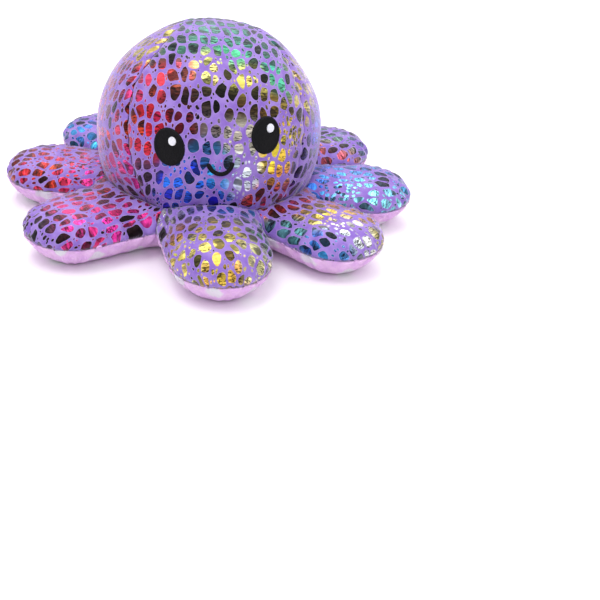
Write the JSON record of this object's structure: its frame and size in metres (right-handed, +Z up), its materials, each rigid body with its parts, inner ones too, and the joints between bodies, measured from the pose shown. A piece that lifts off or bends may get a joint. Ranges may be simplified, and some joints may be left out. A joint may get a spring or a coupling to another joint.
{
  "type": "plush octopus",
  "caption": "Soft stuffed octopus that turns inside out, with a round hollow head, a foil-printed outside, a spotted plush inside and stubby arms around its base.",
  "frame": {"origin": "on the table, under the middle of the head", "axes": "+Z up through the head, -Y the way the outside face looks, +X to the right of someone facing it"},
  "size_m": [0.2014, 0.2015, 0.0961],
  "materials": {
    "foil_fabric": "smooth lavender knit with a rainbow foil pebble print",
    "spotted_plush": "short-pile pink plush with white dots",
    "fiberfill": "loose white filling",
    "black_thread": "satin stitch",
    "white_thread": "satin stitch"
  },
  "bodies": {
    "root": {"head_cover_front": "foil_fabric", "head_cover_right": "foil_fabric", "head_cover_back": "foil_fabric", "head_cover_left": "foil_fabric", "pocket_lining_front": "spotted_plush", "pocket_lining_right": "spotted_plush", "pocket_lining_back": "spotted_plush", "pocket_lining_left": "spotted_plush", "head_stuffing": "fiberfill", "ring_top_cover": "foil_fabric", "ring_bottom_cover": "spotted_plush", "ring_stuffing": "fiberfill", "eye_left": "black_thread", "eye_right": "black_thread", "pocket_eye_left": "black_thread", "pocket_eye_right": "black_thread", "eye_left_glint": "white_thread", "eye_right_glint": "white_thread", "pocket_eye_left_glint": "white_thread", "pocket_eye_right_glint": "white_thread", "smile": "black_thread", "pocket_brow_left": "black_thread", "pocket_brow_right": "black_thread", "pocket_frown": "black_thread"},
    "arm_front": {"arm_front_top_cover": "foil_fabric", "arm_front_bottom_cover": "spotted_plush", "arm_front_stuffing": "fiberfill"},
    "arm_front_right": {"arm_front_right_top_cover": "foil_fabric", "arm_front_right_bottom_cover": "spotted_plush", "arm_front_right_stuffing": "fiberfill"},
    "arm_right": {"arm_right_top_cover": "foil_fabric", "arm_right_bottom_cover": "spotted_plush", "arm_right_stuffing": "fiberfill"},
    "arm_back_right": {"arm_back_right_top_cover": "foil_fabric", "arm_back_right_bottom_cover": "spotted_plush", "arm_back_right_stuffing": "fiberfill"},
    "arm_back": {"arm_back_top_cover": "foil_fabric", "arm_back_bottom_cover": "spotted_plush", "arm_back_stuffing": "fiberfill"},
    "arm_back_left": {"arm_back_left_top_cover": "foil_fabric", "arm_back_left_bottom_cover": "spotted_plush", "arm_back_left_stuffing": "fiberfill"},
    "arm_left": {"arm_left_top_cover": "foil_fabric", "arm_left_bottom_cover": "spotted_plush", "arm_left_stuffing": "fiberfill"},
    "arm_front_left": {"arm_front_left_top_cover": "foil_fabric", "arm_front_left_bottom_cover": "spotted_plush", "arm_front_left_stuffing": "fiberfill"}
  },
  "joints": [
    {"name": "arm_front_hinge", "type": "hinge", "parent": "root", "child": "arm_front", "pos_m": [0.00459, -0.05248, 0.013], "axis": [-0.9962, -0.0872, 0], "range_deg": [-40, 35], "stiffness_Nm_per_rad": 0.06},
    {"name": "arm_front_right_hinge", "type": "hinge", "parent": "root", "child": "arm_front_right", "pos_m": [0.03945, -0.03491, 0.013], "axis": [-0.6626, -0.749, 0], "range_deg": [-40, 35], "stiffness_Nm_per_rad": 0.06},
    {"name": "arm_right_hinge", "type": "hinge", "parent": "root", "child": "arm_right", "pos_m": [0.05261, -0.00276, 0.013], "axis": [-0.0523, -0.9986, 0], "range_deg": [-40, 35], "stiffness_Nm_per_rad": 0.06},
    {"name": "arm_back_right_hinge", "type": "hinge", "parent": "root", "child": "arm_back_right", "pos_m": [0.04262, 0.03096, 0.013], "axis": [0.5878, -0.809, 0], "range_deg": [-40, 35], "stiffness_Nm_per_rad": 0.06},
    {"name": "arm_back_hinge", "type": "hinge", "parent": "root", "child": "arm_back", "pos_m": [0.00367, 0.05255, 0.013], "axis": [0.9976, -0.0698, 0], "range_deg": [-40, 35], "stiffness_Nm_per_rad": 0.06},
    {"name": "arm_back_left_hinge", "type": "hinge", "parent": "root", "child": "arm_back_left", "pos_m": [-0.03789, 0.0366, 0.013], "axis": [0.6947, 0.7193, 0], "range_deg": [-40, 35], "stiffness_Nm_per_rad": 0.06},
    {"name": "arm_left_hinge", "type": "hinge", "parent": "root", "child": "arm_left", "pos_m": [-0.05239, 0.00551, 0.013], "axis": [0.1045, 0.9945, 0], "range_deg": [-40, 35], "stiffness_Nm_per_rad": 0.06},
    {"name": "arm_front_left_hinge", "type": "hinge", "parent": "root", "child": "arm_front_left", "pos_m": [-0.04036, -0.03386, 0.013], "axis": [-0.6428, 0.766, 0], "range_deg": [-40, 35], "stiffness_Nm_per_rad": 0.06}
  ]
}
